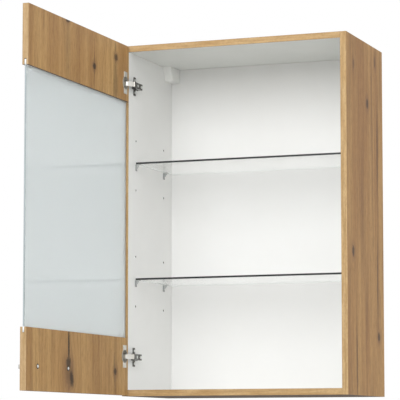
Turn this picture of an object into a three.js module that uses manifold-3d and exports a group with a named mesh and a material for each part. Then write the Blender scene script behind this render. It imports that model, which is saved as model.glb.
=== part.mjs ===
// Hanging wall cabinet with one glazed door on two cup hinges, two glass shelves and two wall hangers.
// Millimetres, +Z up, +X to the right seen from the front, +Y towards the wall. The wall touches the
// rear edges at y = 0. The origin is the centre of the bottom panel's rear edge.
import * as THREE from 'three';
import { mergeVertices } from 'three/addons/utils/BufferGeometryUtils.js';
import Module from 'manifold-3d';

const wasm = await Module();
wasm.setup();

// ---------- driving dimensions ----------
const WIDTH = 600;
const HEIGHT = 900;
const DEPTH = 320;
const BOARD = 16;
const BACK_THICK = 3;
const BACK_RECESS = 17;
const BACK_GROOVE_DEPTH = 8;
const BACK_PLAY = 0.2;

const DOOR_REVEAL = 2;
const TOP_BOARD_HEIGHT = 144.5;
const BOTTOM_BOARD_HEIGHT = 145.5;
const PANE_THICK = 4;
const PANE_SEAT = 13;
const PANE_EDGE_INSET = 1;
const PANE_GROOVE = 4.6;
const PANE_END_PLAY = 1;

const SHELF_THICK = 5;
const SHELF_LENGTH = 565;
const SHELF_DEPTH = 252;
const SHELF_FRONT = 46;
const SHELF_HOLE_HEIGHTS = [295, 595];
const HOLE_STEP = 64;
const HOLE_COLUMNS = [50, 242];
const HOLE_RADIUS = 2.65;
const HOLE_DEPTH = 10;
const PEG_RADIUS = 2.5;
const PEG_LENGTH = 9;
const TAB_TOP_ABOVE_HOLE = 3.3;

const DOWEL_RADIUS = 4;
const DOWEL_LENGTH = 32;
const DOWEL_IN_SIDE = 11;
const DOWEL_HOLE_RADIUS = 4.15;
const DOWEL_SETBACKS = [55, 265];

// Hinge plan, measured from the outer front corner of the left side: x inwards, y rearwards.
const HINGE_HEIGHTS = [100, 800];
const DOOR_OPEN_FACE = 17.6;
const DOOR_OPEN_EDGE = -4.4;
const CUP_RADIUS = 17.5;
const CUP_DEPTH = 13;
const CUP_WALL = 0.8;
const CUP_FLOOR = 0.6;
const CUP_EDGE_DISTANCE = 3.5;
const CUP_SCREW_SPACING = 48;
const CUP_SCREW_OFFSET = 6;
const FLANGE_LENGTH = 57;
const FLANGE_REACH = 32;
const FLANGE_THICK = 1;
const CUP_PIN_RADIUS = 0.9;
const ARM_PIN_RADIUS = 1;
const LINK_PIN_OUTER = [30.94, 2.4];
const LINK_PIN_INNER = [28.46, 6.67];
const CUP_PIN_DEEP = [9.8, -11.3];
const CUP_PIN_LIP = [15.6, -11.4];
const PIN_PLAY = 0.15;
const LINK_EYE_RADIUS = 1.5;
const SLOT_EYE_RADIUS = 1.75;
const SWING_TO_CLOSED = THREE.MathUtils.degToRad(90);
const SWING_TO_WIDEST = THREE.MathUtils.degToRad(-10);
const OUTER_LINK_TURN = THREE.MathUtils.degToRad(-4.04);
const INNER_LINK_TURN = THREE.MathUtils.degToRad(-25.74);
const PLATE_LINE = 37;
const PLATE_SCREW_SPACING = 32;
const ARM_HALF_WIDTH = 7.7;

const HANDLE_HEIGHT = 59;
const HANDLE_CENTRE = 146;
const HANDLE_HOLE_SPACING = 170;
const HANDLE_BAR = 10;
const HANDLE_BAR_DEPTH = 6;
const HANDLE_PROJECTION = 35;

const HANGER_TOP = 884;
const HANGER_HEIGHT = 36;

// ---------- places in the cabinet's own frame ----------
const LEFT = -WIDTH / 2;
const FRONT = -DEPTH;
const BASE = -BOARD / 2;
const inX = (x) => LEFT + x;
const inY = (y) => FRONT + y;
const inZ = (z) => BASE + z;

// ---------- finishes ----------
const finish = (color, roughness, metalness = 0, opacity = 1) => new THREE.MeshStandardMaterial({
  color, roughness, metalness, opacity, transparent: opacity < 1,
});
const OAK = finish(0xaa8a62, 0.6);
const BACK_WHITE = finish(0xe4e4de, 0.6);
const DOWEL_BEECH = finish(0xd8b888, 0.8);
const CLEAR_GLASS = finish(0xb8ccc8, 0.05, 0, 0.35);
const SATIN_GLASS = finish(0xc8d2d0, 0.5, 0, 0.7);
const NICKEL = finish(0xb8b6b0, 0.3, 1);
const STEEL = finish(0xc4c4c2, 0.35, 1);
const WHITE_PLASTIC = finish(0xd8d8d2, 0.5);
const CLEAR_PLASTIC = finish(0xe0e2e0, 0.3, 0, 0.8);

// ---------- solids ----------
function toManifold(geometry) {
  const bare = geometry.clone();
  bare.deleteAttribute('normal');
  bare.deleteAttribute('uv');
  const merged = mergeVertices(bare, 1e-4);
  return new wasm.Manifold(new wasm.Mesh({
    numProp: 3,
    vertProperties: new Float32Array(merged.attributes.position.array),
    triVerts: new Uint32Array(merged.index.array),
  }));
}

function toGeometry(manifold) {
  const mesh = manifold.getMesh();
  const geometry = new THREE.BufferGeometry();
  geometry.setAttribute('position', new THREE.BufferAttribute(new Float32Array(mesh.vertProperties), 3));
  geometry.setIndex(new THREE.BufferAttribute(new Uint32Array(mesh.triVerts), 1));
  geometry.computeVertexNormals();
  return geometry;
}

const cut = (body, tools) => toGeometry(
  tools.reduce((solid, tool) => solid.subtract(toManifold(tool)), toManifold(body)),
);

const join = (bodies) => toGeometry(
  bodies.slice(1).reduce((solid, body) => solid.add(toManifold(body)), toManifold(bodies[0])),
);

function block(x0, x1, y0, y1, z0, z1) {
  const box = new THREE.BoxGeometry(x1 - x0, y1 - y0, z1 - z0);
  return box.translate((x0 + x1) / 2, (y0 + y1) / 2, (z0 + z1) / 2);
}

// A rod between two depths along one axis; the other two coordinates are its centre, in X, Y, Z order.
function rod(axis, radius, from, to, centreA, centreB, sides = 12) {
  const geometry = new THREE.CylinderGeometry(radius, radius, to - from, sides);
  const middle = (from + to) / 2;
  if (axis === 'x') return geometry.rotateZ(-Math.PI / 2).translate(middle, centreA, centreB);
  if (axis === 'y') return geometry.translate(centreA, middle, centreB);
  return geometry.rotateX(Math.PI / 2).translate(centreA, centreB, middle);
}

// A flat outline in X and Y, carried from one height to another.
function prism(points, z0, z1) {
  const shape = new THREE.Shape(points.map(([x, y]) => new THREE.Vector2(x, y)));
  return new THREE.ExtrudeGeometry(shape, { depth: z1 - z0, bevelEnabled: false }).translate(0, 0, z0);
}

// A strip of even thickness that follows a smooth curve through plan points.
function strip(points, thickness, z0, z1, steps = 18) {
  const curve = new THREE.CatmullRomCurve3(points.map(([x, y]) => new THREE.Vector3(x, y, 0)));
  const left = [];
  const right = [];
  for (let i = 0; i <= steps; i += 1) {
    const point = curve.getPoint(i / steps);
    const tangent = curve.getTangent(i / steps);
    const offset = new THREE.Vector3(-tangent.y, tangent.x, 0).multiplyScalar(thickness / 2);
    left.push([point.x + offset.x, point.y + offset.y]);
    right.push([point.x - offset.x, point.y - offset.y]);
  }
  return prism([...left, ...right.reverse()], z0, z1);
}

// A tapered screw shank with a low head, along X, its head's underside at x = 0 and its point towards -X.
function screwAlongX(headRadius, headHeight, shankRadius, length) {
  const profile = [
    [0, -length],
    [shankRadius * 0.9, -length + 2],
    [shankRadius, -length + 4],
    [shankRadius, 0],
    [headRadius, 0],
    [headRadius, headHeight * 0.5],
    [headRadius * 0.75, headHeight],
    [0, headHeight],
  ];
  const lathe = new THREE.LatheGeometry(profile.map(([r, y]) => new THREE.Vector2(r, y)), 16);
  return lathe.rotateZ(-Math.PI / 2);
}

// ---------- the assembly ----------
const cabinet = new THREE.Group();
cabinet.name = 'cabinet';

function add(name, geometry, material, x = 0, y = 0, z = 0) {
  const mesh = new THREE.Mesh(geometry, material);
  mesh.name = name;
  mesh.position.set(x, y, z);
  cabinet.add(mesh);
  return mesh;
}

const SIDES = [
  { name: 'left', inner: inX(BOARD), inward: 1 },
  { name: 'right', inner: -inX(BOARD), inward: -1 },
];
const LEVELS = [
  { name: 'bottom', z: inZ(BOARD / 2) },
  { name: 'top', z: inZ(HEIGHT - BOARD / 2) },
];
const BACK_FRONT_Y = -BACK_RECESS - BACK_THICK;

function backGrooveTool(x0, x1, z0, z1) {
  return block(x0, x1, BACK_FRONT_Y - BACK_PLAY, -BACK_RECESS + BACK_PLAY, z0, z1);
}

function dowelHoles(side) {
  const face = side.inner;
  const end = face - side.inward * (DOWEL_IN_SIDE + 0.5);
  return LEVELS.flatMap((level) => DOWEL_SETBACKS.map((setback) => rod(
    'x', DOWEL_HOLE_RADIUS, Math.min(face, end) - (side.inward < 0 ? 1 : 0),
    Math.max(face, end) + (side.inward > 0 ? 1 : 0), inY(setback), level.z, 16,
  )));
}

function shelfHoles(side) {
  const tools = [];
  for (const height of SHELF_HOLE_HEIGHTS) {
    for (const step of [-HOLE_STEP, 0, HOLE_STEP]) {
      for (const column of HOLE_COLUMNS) {
        const end = side.inner - side.inward * HOLE_DEPTH;
        const mouth = side.inner + side.inward;
        tools.push(rod('x', HOLE_RADIUS, Math.min(end, mouth), Math.max(end, mouth), inY(column), inZ(height + step)));
      }
    }
  }
  return tools;
}

function plateScrewHoles() {
  const tools = [];
  for (const height of HINGE_HEIGHTS) {
    for (const step of [-PLATE_SCREW_SPACING / 2, PLATE_SCREW_SPACING / 2]) {
      tools.push(rod('x', 2.2, inX(BOARD - 12.5), inX(BOARD + 1), inY(PLATE_LINE), inZ(height + step)));
    }
  }
  return tools;
}

function buildCarcass() {
  for (const side of SIDES) {
    const outer = side.inner - side.inward * BOARD;
    const x0 = Math.min(side.inner, outer);
    const x1 = Math.max(side.inner, outer);
    const floor = side.inner - side.inward * BACK_GROOVE_DEPTH;
    const mouth = side.inner + side.inward;
    const groove = backGrooveTool(
      Math.min(floor, mouth), Math.max(floor, mouth),
      inZ(BOARD - BACK_GROOVE_DEPTH), inZ(HEIGHT - BOARD + BACK_GROOVE_DEPTH),
    );
    const tools = [groove, ...dowelHoles(side), ...shelfHoles(side)];
    if (side.name === 'left') tools.push(...plateScrewHoles());
    add(`side_panel_${side.name}`, cut(block(x0, x1, FRONT, 0, inZ(0), inZ(HEIGHT)), tools), OAK);
  }
  const half = WIDTH / 2 - BOARD;
  const intoPanel = DOWEL_LENGTH - DOWEL_IN_SIDE + 0.5;
  for (const level of LEVELS) {
    const board = block(-half, half, FRONT, 0, level.z - BOARD / 2, level.z + BOARD / 2);
    const inward = level.name === 'bottom' ? 1 : -1;
    const face = level.z + inward * BOARD / 2;
    const floor = face - inward * BACK_GROOVE_DEPTH;
    const mouth = face + inward;
    const groove = backGrooveTool(-half - 1, half + 1, Math.min(floor, mouth), Math.max(floor, mouth));
    const holes = [];
    for (const setback of DOWEL_SETBACKS) {
      holes.push(rod('x', DOWEL_HOLE_RADIUS, -half - 1, -half + intoPanel, inY(setback), level.z, 16));
      holes.push(rod('x', DOWEL_HOLE_RADIUS, half - intoPanel, half + 1, inY(setback), level.z, 16));
    }
    add(`${level.name}_panel`, cut(board, [groove, ...holes]), OAK);
  }
  const reach = BACK_GROOVE_DEPTH - 1;
  const hookCuts = SIDES.map((side) => {
    const near = side.inner + side.inward * 2;
    const far = side.inner + side.inward * 21;
    return block(
      Math.min(near, far), Math.max(near, far), BACK_FRONT_Y - 1, -BACK_RECESS + 1,
      inZ(HANGER_TOP - HANGER_HEIGHT + 2), inZ(HANGER_TOP - 2),
    );
  });
  const sheet = block(
    -half - reach, half + reach, BACK_FRONT_Y, -BACK_RECESS,
    inZ(BOARD - reach), inZ(HEIGHT - BOARD + reach),
  );
  add('back_panel', cut(sheet, hookCuts), BACK_WHITE);
}

function buildDowels() {
  const rows = [['front', DOWEL_SETBACKS[0]], ['rear', DOWEL_SETBACKS[1]]];
  for (const level of LEVELS) {
    for (const side of SIDES) {
      for (const [row, setback] of rows) {
        const start = side.inner - side.inward * DOWEL_IN_SIDE;
        const end = start + side.inward * DOWEL_LENGTH;
        const peg = rod('x', DOWEL_RADIUS, Math.min(start, end), Math.max(start, end), inY(setback), level.z, 16);
        add(`dowel_${level.name}_${side.name}_${row}`, peg, DOWEL_BEECH);
      }
    }
  }
}

// An angled bracket with a peg: a plate against the side, a level tab on top and a thin gusset between.
function supportGeometry(inward) {
  const plate = block(0, 1.5, -5, 5, -14, TAB_TOP_ABOVE_HOLE);
  const tab = block(0, 12, -5, 5, TAB_TOP_ABOVE_HOLE - 1.6, TAB_TOP_ABOVE_HOLE);
  const gusset = prism([[1, -12], [11, 2.2], [1, 2.2]], -0.8, 0.8).rotateX(Math.PI / 2);
  const peg = rod('x', PEG_RADIUS, -PEG_LENGTH, 0.5, 0, 0);
  const bracket = join([plate, tab, gusset, peg]);
  return inward > 0 ? bracket : bracket.rotateZ(Math.PI);
}

function buildShelves() {
  const names = ['lower', 'upper'];
  SHELF_HOLE_HEIGHTS.forEach((height, index) => {
    const name = names[index];
    const z = inZ(height + TAB_TOP_ABOVE_HOLE);
    const y0 = inY(SHELF_FRONT);
    const pane = block(-SHELF_LENGTH / 2, SHELF_LENGTH / 2, y0, y0 + SHELF_DEPTH, z, z + SHELF_THICK);
    add(`glass_shelf_${name}`, pane, CLEAR_GLASS);
    for (const side of SIDES) {
      for (const [row, column] of [['front', HOLE_COLUMNS[0]], ['rear', HOLE_COLUMNS[1]]]) {
        const bracket = supportGeometry(side.inward);
        add(`shelf_support_${name}_${side.name}_${row}`, bracket, CLEAR_PLASTIC, side.inner, inY(column), inZ(height));
      }
    }
  });
}

// A wall hanger in each upper rear corner: a body on the side panel, a steel hook and a tapered cap.
function buildHangers() {
  const z0 = inZ(HANGER_TOP - HANGER_HEIGHT);
  const z1 = inZ(HANGER_TOP);
  for (const side of SIDES) {
    const at = (distance) => side.inner + side.inward * distance;
    const span = (a, b) => [Math.min(at(a), at(b)), Math.max(at(a), at(b))];
    const capOutline = [[inY(302) - 2, z0], [inY(302) - 2, z1], [inY(232), z1], [inY(251), z0]];
    const capHollow = [
      [inY(302) + 3, z0 + 1.5], [inY(302) + 3, z1 - 1.5], [inY(234), z1 - 1.5], [inY(253), z0 + 1.5],
    ];
    const upright = (outline, a, b) => {
      const [x0, x1] = span(a, b);
      return prism(outline, x0, x1).applyMatrix4(new THREE.Matrix4().set(
        0, 0, 1, 0,
        1, 0, 0, 0,
        0, 1, 0, 0,
        0, 0, 0, 1,
      ));
    };
    const cap = cut(upright(capOutline, 0.1, 23), [upright(capHollow, -1, 21.5)]);
    add(`hanger_cover_${side.name}`, cap, WHITE_PLASTIC);

    const [b0, b1] = span(0, 19);
    const [s0, s1] = span(6, 13);
    const body = cut(
      block(b0, b1, inY(260), inY(299), z0 + 3, z1 - 3),
      [block(s0, s1, inY(270), inY(305), z0 - 1, z1 + 1)],
    );
    add(`hanger_body_${side.name}`, body, WHITE_PLASTIC);

    const [h0, h1] = span(6.5, 12.5);
    const bar = block(h0, h1, inY(274), inY(319), z0 + 12, z0 + 18);
    const lip = block(h0, h1, inY(315), inY(319), z0 + 4, z0 + 18);
    const tail = block(h0, h1, inY(274), inY(279), z0 + 12, z0 + 26);
    add(`hanger_hook_${side.name}`, join([bar, lip, tail]), STEEL);
  }
}

// ---------- the door, standing open at a right angle ----------
const FACE = inX(DOOR_OPEN_FACE);
const OUTSIDE = FACE - BOARD;
const HINGE_EDGE = inY(DOOR_OPEN_EDGE);
const FREE_EDGE = HINGE_EDGE - (WIDTH - 2 * DOOR_REVEAL);
const DOOR_BASE = inZ(DOOR_REVEAL);
const DOOR_TOP = inZ(HEIGHT - DOOR_REVEAL);
const PANE_X = OUTSIDE + (BOARD - PANE_THICK) / 2;
const CUP_Y = HINGE_EDGE - CUP_EDGE_DISTANCE - CUP_RADIUS;
const HANDLE_Y = FREE_EDGE + HANDLE_CENTRE;

function cupTools(height) {
  const z = inZ(height);
  const tools = [rod('x', CUP_RADIUS + 0.1, FACE - CUP_DEPTH - 0.2, FACE + 1, CUP_Y, z, 48)];
  for (const step of [-CUP_SCREW_SPACING / 2, CUP_SCREW_SPACING / 2]) {
    tools.push(rod('x', 1.9, FACE - 12.5, FACE + 1, CUP_Y - CUP_SCREW_OFFSET, z + step));
  }
  return tools;
}

function paneGroove(z0, z1) {
  const x0 = OUTSIDE + (BOARD - PANE_GROOVE) / 2;
  return block(x0, x0 + PANE_GROOVE, FREE_EDGE - 1, HINGE_EDGE + 1, z0, z1);
}

function buildDoor() {
  const lowBoardTop = DOOR_BASE + BOTTOM_BOARD_HEIGHT;
  const highBoardBase = DOOR_TOP - TOP_BOARD_HEIGHT;
  const low = block(OUTSIDE, FACE, FREE_EDGE, HINGE_EDGE, DOOR_BASE, lowBoardTop);
  const high = block(OUTSIDE, FACE, FREE_EDGE, HINGE_EDGE, highBoardBase, DOOR_TOP);
  const handleHoles = [-0.5, 0.5].map((side) => rod(
    'x', 2.3, OUTSIDE - 1, FACE + 1, HANDLE_Y + side * HANDLE_HOLE_SPACING, inZ(HANDLE_HEIGHT),
  ));
  add('door_bottom_board', cut(low, [
    paneGroove(lowBoardTop - PANE_SEAT, lowBoardTop + 1), ...cupTools(HINGE_HEIGHTS[0]), ...handleHoles,
  ]), OAK);
  add('door_top_board', cut(high, [
    paneGroove(highBoardBase - 1, highBoardBase + PANE_SEAT + PANE_END_PLAY), ...cupTools(HINGE_HEIGHTS[1]),
  ]), OAK);
  add('door_glass', block(
    PANE_X, PANE_X + PANE_THICK, FREE_EDGE + PANE_EDGE_INSET, HINGE_EDGE - PANE_EDGE_INSET,
    lowBoardTop - PANE_SEAT, highBoardBase + PANE_SEAT,
  ), SATIN_GLASS);
}

// A bow with two feet: the outline of a wide U with round outer corners, carried up by the bar's height.
function buildHandle() {
  const half = HANDLE_HOLE_SPACING / 2 + HANDLE_BAR_DEPTH;
  const outline = new THREE.Shape();
  const corner = 12;
  const inner = half - 2 * HANDLE_BAR_DEPTH;
  const grip = HANDLE_PROJECTION - HANDLE_BAR_DEPTH;
  outline.moveTo(0, -half);
  outline.lineTo(-HANDLE_PROJECTION + corner, -half);
  outline.absarc(-HANDLE_PROJECTION + corner, -half + corner, corner, -Math.PI / 2, -Math.PI, true);
  outline.lineTo(-HANDLE_PROJECTION, half - corner);
  outline.absarc(-HANDLE_PROJECTION + corner, half - corner, corner, Math.PI, Math.PI / 2, true);
  outline.lineTo(0, half);
  outline.lineTo(0, inner);
  outline.lineTo(-grip + 4, inner);
  outline.absarc(-grip + 4, inner - 4, 4, Math.PI / 2, Math.PI, false);
  outline.lineTo(-grip, -inner + 4);
  outline.absarc(-grip + 4, -inner + 4, 4, Math.PI, Math.PI * 1.5, false);
  outline.lineTo(0, -inner);
  outline.closePath();
  const bow = new THREE.ExtrudeGeometry(outline, { depth: HANDLE_BAR, bevelEnabled: false, curveSegments: 8 });
  bow.translate(OUTSIDE, HANDLE_Y, inZ(HANDLE_HEIGHT) - HANDLE_BAR / 2);
  const threads = [-0.5, 0.5].map((side) => rod(
    'x', 1.9, OUTSIDE - 10, OUTSIDE + 1, HANDLE_Y + side * HANDLE_HOLE_SPACING, inZ(HANDLE_HEIGHT),
  ));
  add('handle', cut(bow, threads), STEEL);
  for (const [name, side] of [['front', -0.5], ['rear', 0.5]]) {
    const y = HANDLE_Y + side * HANDLE_HOLE_SPACING;
    add(`handle_screw_${name}`, screwAlongX(3.6, 2, 1.75, BOARD + 8), STEEL, FACE, y, inZ(HANDLE_HEIGHT));
  }
}

// ---------- the hinges ----------
const inPlan = ([x, y]) => [inX(x), inY(y)];
const PIN_A = inPlan(LINK_PIN_OUTER);
const PIN_B = inPlan(LINK_PIN_INNER);
const PIN_C = inPlan(CUP_PIN_LIP);
const PIN_D = inPlan(CUP_PIN_DEEP);

function buildCup(name, z) {
  const inside = CUP_RADIUS - CUP_WALL;
  const profile = [
    [0, -CUP_DEPTH],
    [CUP_RADIUS, -CUP_DEPTH],
    [CUP_RADIUS, FLANGE_THICK],
    [inside, FLANGE_THICK],
    [inside, -CUP_DEPTH + CUP_FLOOR],
    [0, -CUP_DEPTH + CUP_FLOOR],
  ].map(([r, y]) => new THREE.Vector2(r, y));
  const shell = new THREE.LatheGeometry(profile, 48).rotateZ(-Math.PI / 2).translate(FACE, CUP_Y, z);
  const flangeBack = HINGE_EDGE - FLANGE_REACH;
  const flangeFront = CUP_Y + 10;
  const flange = cut(
    block(FACE, FACE + FLANGE_THICK, flangeBack, flangeFront, z - FLANGE_LENGTH / 2, z + FLANGE_LENGTH / 2),
    [
      rod('x', inside + 0.2, FACE - 1, FACE + FLANGE_THICK + 1, CUP_Y, z, 48),
      ...[-1, 1].map((side) => rod(
        'x', 2.1, FACE - 1, FACE + FLANGE_THICK + 1,
        CUP_Y - CUP_SCREW_OFFSET, z + side * CUP_SCREW_SPACING / 2,
      )),
    ],
  );
  const relief = [PIN_C, PIN_D].map(([x, y]) => rod('z', CUP_PIN_RADIUS + 0.2, z - 9.4, z + 9.4, x, y));
  const notch = block(FACE - 1.2, FACE + 2, CUP_Y + 5, HINGE_EDGE + 1, z - 8, z + 8);
  add(`${name}_hinge_cup`, cut(join([shell, flange]), [...relief, notch]), NICKEL);
  for (const [place, side] of [['lower', -1], ['upper', 1]]) {
    add(
      `${name}_hinge_cup_screw_${place}`, screwAlongX(3.4, 1.8, 1.7, 12),
      STEEL, FACE + FLANGE_THICK, CUP_Y - CUP_SCREW_OFFSET, z + side * CUP_SCREW_SPACING / 2,
    );
  }
  const legs = [PIN_C, PIN_D].map(([x, y]) => rod('z', CUP_PIN_RADIUS, z - 9.1, z + 9.1, x, y));
  const bridge = block(PIN_D[0], PIN_C[0], PIN_C[1] - 2, PIN_C[1] - 0.5, z + 7.2, z + 8.6);
  add(`${name}_hinge_cup_pin`, join([...legs, bridge]), STEEL);
}

// Where the arm's inner pin stands in the inner link's own frame, while the door swings by an angle.
// The link turns on the cup's lip pin, so the other end of it slides past this pin in a curved slot.
function armPinInLink(swing) {
  const vector = ([x, y]) => new THREE.Vector2(x, y);
  const share = swing / SWING_TO_CLOSED;
  const deep = vector(PIN_D).rotateAround(vector(PIN_A), share * OUTER_LINK_TURN);
  const offset = vector(PIN_C).sub(vector(PIN_D)).rotateAround(new THREE.Vector2(), swing);
  const reach = vector(PIN_B).sub(deep.add(offset));
  return reach.rotateAround(new THREE.Vector2(), -share * INNER_LINK_TURN).add(vector(PIN_C));
}

function buildLinks(name, z) {
  const hook = [[9.8, -11.3], [11, -13.4], [13.2, -14.55], [15.6, -14.65], [18.3, -13.6], [21.2, -10.4]];
  const web = [[18.3, -13.6], [21.2, -10.4], [25.5, -5], [30.94, 2.4]];
  const outer = join([
    strip(hook.map(inPlan), 1.2, z - 5, z + 5, 24),
    strip(web.map(inPlan), 1.2, z - 6.2, z + 6.2, 14),
    rod('z', 1.65, z - 5, z + 5, PIN_D[0], PIN_D[1], 20),
    rod('z', 1.95, z - 6.2, z + 6.2, PIN_A[0], PIN_A[1], 20),
  ]);
  add(`${name}_hinge_outer_link`, cut(outer, [
    rod('z', CUP_PIN_RADIUS + PIN_PLAY, z - 8, z + 8, PIN_D[0], PIN_D[1]),
    rod('z', ARM_PIN_RADIUS + 0.12, z - 8, z + 8, PIN_A[0], PIN_A[1]),
  ]), NICKEL);

  const reach = [[15.6, -11.4], [18.2, -10.6], [20.6, -7.6], [24.6, -0.4], [27.4, 4.8]];
  const path = [];
  for (let step = 0; step <= 24; step += 1) {
    const swing = THREE.MathUtils.lerp(SWING_TO_WIDEST, SWING_TO_CLOSED, step / 24);
    path.push(armPinInLink(swing));
  }
  const inner = join([
    strip(reach.map(inPlan), 1, z - 3.4, z + 3.4, 24),
    rod('z', LINK_EYE_RADIUS, z - 3.4, z + 3.4, PIN_C[0], PIN_C[1], 20),
    ...path.map((place) => rod('z', SLOT_EYE_RADIUS, z - 3.4, z + 3.4, place.x, place.y, 20)),
  ]);
  add(`${name}_hinge_inner_link`, cut(inner, [
    rod('z', CUP_PIN_RADIUS + PIN_PLAY, z - 8, z + 8, PIN_C[0], PIN_C[1]),
    ...path.map((place) => rod('z', ARM_PIN_RADIUS + PIN_PLAY, z - 8, z + 8, place.x, place.y, 20)),
  ]), NICKEL);
}

function buildArm(name, z) {
  const cheek = [
    [24.5, 5], [28.4, 0.6], [31.5, 0.1], [33.3, 1.6], [33.3, 4.4], [31.4, 12], [29.2, 20],
    [29.2, 60], [19.2, 60], [19.2, 16], [22, 8],
  ].map(inPlan);
  const half = ARM_HALF_WIDTH;
  const inside = half - 1.1;
  const solid = prism(cheek, z - half, z + half);
  const hollow = [
    [10, -4], [36, -4], [36, 12.4], [30.1, 12.8], [28, 20], [28, 56], [10, 56],
  ].map(inPlan);
  const pins = [PIN_A, PIN_B].map(([x, y]) => rod('z', ARM_PIN_RADIUS + 0.1, z - 9, z + 9, x, y));
  const slot = prism([[27, 46], [32, 46], [32, 62], [27, 62]].map(inPlan), z - 3, z + 3);
  add(`${name}_hinge_arm`, cut(solid, [prism(hollow, z - inside, z + inside), ...pins, slot]), NICKEL);
  for (const [place, pin] of [['outer', PIN_A], ['inner', PIN_B]]) {
    add(`${name}_hinge_arm_pin_${place}`, rod('z', ARM_PIN_RADIUS, z - half - 0.2, z + half + 0.2, ...pin, 12), STEEL);
  }
}

function buildPlate(name, z) {
  const x0 = inX(BOARD);
  const base = join([
    block(x0, x0 + 2, inY(PLATE_LINE - 6), inY(PLATE_LINE + 6), z - 24, z + 24),
    block(x0, x0 + 2.4, inY(20), inY(58), z - 8.6, z + 8.6),
    block(x0, x0 + 10, inY(24), inY(54), z - 6.2, z + 6.2),
  ]);
  const holes = [-1, 1].map((side) => rod(
    'x', 2.3, x0 - 1, x0 + 4, inY(PLATE_LINE), z + side * PLATE_SCREW_SPACING / 2,
  ));
  add(`${name}_hinge_mounting_plate`, cut(base, holes), NICKEL);
  for (const [place, side] of [['lower', -1], ['upper', 1]]) {
    add(
      `${name}_hinge_plate_screw_${place}`, screwAlongX(3.6, 2, 1.9, 13.5),
      STEEL, x0 + 2, inY(PLATE_LINE), z + side * PLATE_SCREW_SPACING / 2,
    );
  }
}

function buildHinges() {
  ['lower', 'upper'].forEach((name, index) => {
    const z = inZ(HINGE_HEIGHTS[index]);
    buildCup(name, z);
    buildLinks(name, z);
    buildArm(name, z);
    buildPlate(name, z);
  });
}

buildCarcass();
buildDowels();
buildShelves();
buildHangers();
buildDoor();
buildHandle();
buildHinges();

export default cabinet;
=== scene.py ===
"""Visual model of a hanging wall cabinet for Blender 4.5: oak-look boards, a glazed door, glass shelves.

Metres, +Z up, +X to the right and +Y towards the wall. Every place comes from the CAD nodes' boxes.
"""
import logging
import math
from dataclasses import dataclass
from enum import Enum

import bmesh
import bpy
import numpy as np
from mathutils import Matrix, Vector


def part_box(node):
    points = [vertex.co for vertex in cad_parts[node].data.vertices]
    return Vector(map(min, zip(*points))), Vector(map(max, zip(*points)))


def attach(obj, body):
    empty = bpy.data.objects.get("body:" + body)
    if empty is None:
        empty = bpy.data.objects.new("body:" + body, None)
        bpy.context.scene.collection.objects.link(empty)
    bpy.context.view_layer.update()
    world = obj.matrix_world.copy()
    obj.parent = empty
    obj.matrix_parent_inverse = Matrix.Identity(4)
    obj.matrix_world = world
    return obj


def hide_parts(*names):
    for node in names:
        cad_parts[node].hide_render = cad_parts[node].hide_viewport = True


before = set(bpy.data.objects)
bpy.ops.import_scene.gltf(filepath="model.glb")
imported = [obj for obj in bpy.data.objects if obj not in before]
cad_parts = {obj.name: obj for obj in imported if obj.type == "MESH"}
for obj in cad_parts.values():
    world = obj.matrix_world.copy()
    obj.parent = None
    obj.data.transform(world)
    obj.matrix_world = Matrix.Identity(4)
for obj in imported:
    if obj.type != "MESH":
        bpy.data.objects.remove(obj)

Node = bpy.types.Node
Tree = bpy.types.NodeTree
Socket = bpy.types.NodeSocket
Piece = bpy.types.Object

LOG = logging.getLogger("wall_cabinet")
MM = 0.001
SIDES = ("left", "right")
ROWS = ("front", "rear")
LEVELS = ("lower", "upper")

# Points nearer than WELD metres are one point. The rest are angles between faces, in degrees.
WELD = 1e-6
FLAT_WITHIN = 0.5
COPY_SMOOTH_BELOW = 30.0
ARRIS_ABOVE = 40.0

# Settings and sockets that many nodes share.
MULTIPLY = {"operation": "MULTIPLY"}
MAXIMUM = {"operation": "MAXIMUM"}
SCALE = {"operation": "SCALE"}
SMOOTH_STEP = {"interpolation_type": "SMOOTHSTEP"}
COLOURS = {"data_type": "RGBA"}
SHARE, FIRST, SECOND, MIXED = 0, 6, 7, 2

# Where a knot's halo and its bent grain begin and are full, in outlines of the knot.
HALO_SPAN = {"From Min": 2.8, "From Max": 0.9}
BEND_SPAN = {"From Min": 4.2, "From Max": 0.6}


class Side(Enum):
    """One side of a board's box, as the axis it faces and the sign along it."""

    LEFT = (0, -1)
    RIGHT = (0, 1)
    FRONT = (1, -1)
    REAR = (1, 1)
    UNDER = (2, -1)
    TOP = (2, 1)


class Grain(Enum):
    """Which object axes run across the grain, along it and into the board."""

    UPRIGHT_SIDE = (1, 2, 0)
    UPRIGHT_FRONT = (0, 2, 1)
    LEVEL_PANEL = (1, 0, 2)
    LEVEL_FRONT = (2, 0, 1)
    DEPTH_EDGE = (0, 1, 2)


# ---------- small shared tools ----------


def linear(colour: str) -> tuple[float, float, float, float]:
    """Turns an sRGB hex colour to linear.

    Args:
        colour: The colour as "#rrggbb".

    Returns:
        Linear red, green, blue and an alpha of one.
    """
    values = np.array([int(colour[i:i + 2], 16) for i in (1, 3, 5)]) / 255.0
    low = values / 12.92
    high = ((values + 0.055) / 1.055) ** 2.4
    red, green, blue = np.where(values <= 0.04045, low, high).tolist()
    return red, green, blue, 1.0


def feed(tree: Tree, node: Node, inputs: dict[int | str, object]) -> None:
    """Sets a node's sockets.

    Args:
        tree: The node tree that holds the node.
        node: The node.
        inputs: Sockets by name or number, each with a value or with the socket that feeds it.
    """
    for socket, value in inputs.items():
        if isinstance(value, Socket):
            tree.links.new(value, node.inputs[socket])
        else:
            node.inputs[socket].default_value = value


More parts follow.
